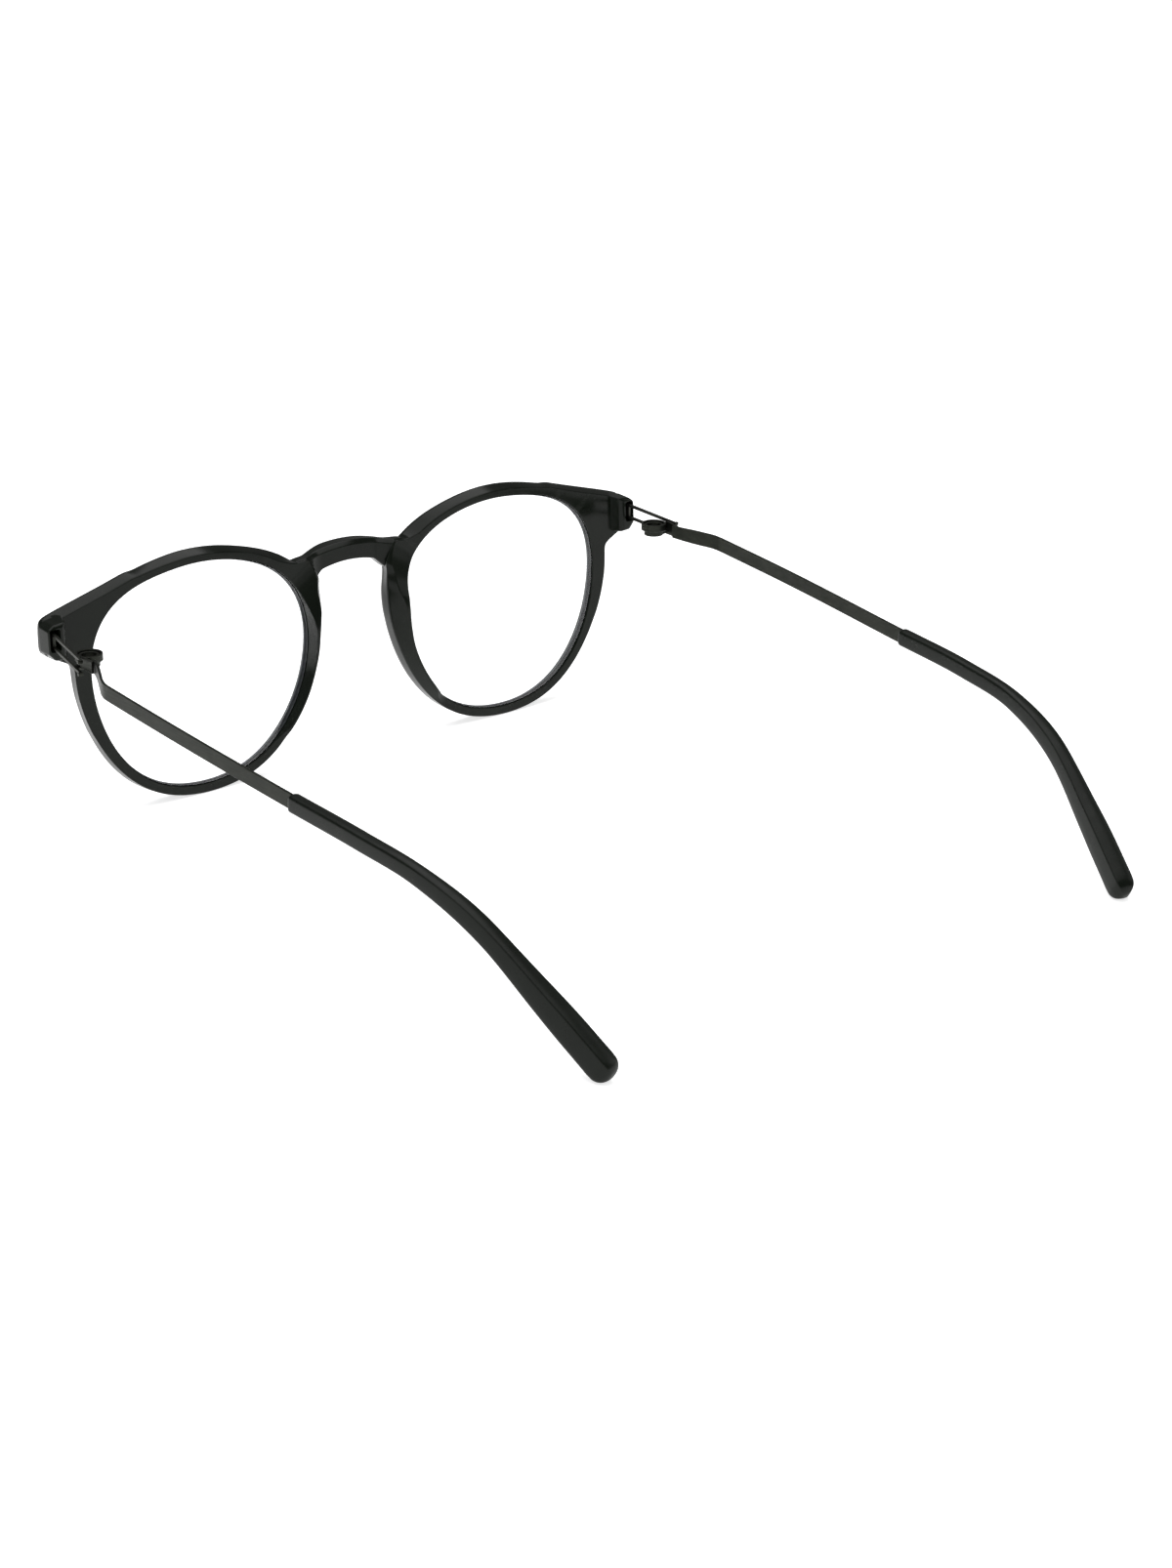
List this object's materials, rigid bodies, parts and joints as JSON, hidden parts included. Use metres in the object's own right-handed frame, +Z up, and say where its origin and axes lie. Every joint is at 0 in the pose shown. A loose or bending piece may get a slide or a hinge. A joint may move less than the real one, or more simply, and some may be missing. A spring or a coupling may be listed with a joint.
{
  "type": "eyeglasses",
  "caption": "Full-rim spectacles: dark polished plastic panto front with keyhole bridge and carved nose pads, clear lenses, slim sheet-metal folding temples with plastic ear tips.",
  "frame": {"origin": "on the resting surface, under the centre of the bounding box, with the temples open", "axes": "+Z up; -Y the way the wearer looks, +Y towards the ears; +X the wearer's left"},
  "size_m": [0.1364, 0.1506, 0.0453],
  "materials": {
    "acetate": "polished black with a faint green cast",
    "lens": "clear, polished, anti-reflection coated",
    "steel": "satin dark grey",
    "tip": "polished black"
  },
  "bodies": {
    "front_body": {"front": "acetate", "lens_left": "lens", "lens_right": "lens", "hinge_fork_left": "steel", "hinge_fork_right": "steel"},
    "temple_left": {"hinge_coil_left": "steel", "temple_arm_left": "steel", "temple_tip_left": "tip"},
    "temple_right": {"hinge_coil_right": "steel", "temple_arm_right": "steel", "temple_tip_right": "tip"}
  },
  "joints": [
    {"name": "hinge_left", "type": "hinge", "parent": "front_body", "child": "temple_left", "pos_m": [0.0628, -0.05815, 0.03463], "axis": [0, 0.0175, 0.9998], "range_deg": [0, 90]},
    {"name": "hinge_right", "type": "hinge", "parent": "front_body", "child": "temple_right", "pos_m": [-0.0628, -0.05815, 0.03463], "axis": [0, -0.0175, -0.9998], "range_deg": [0, 84]}
  ]
}
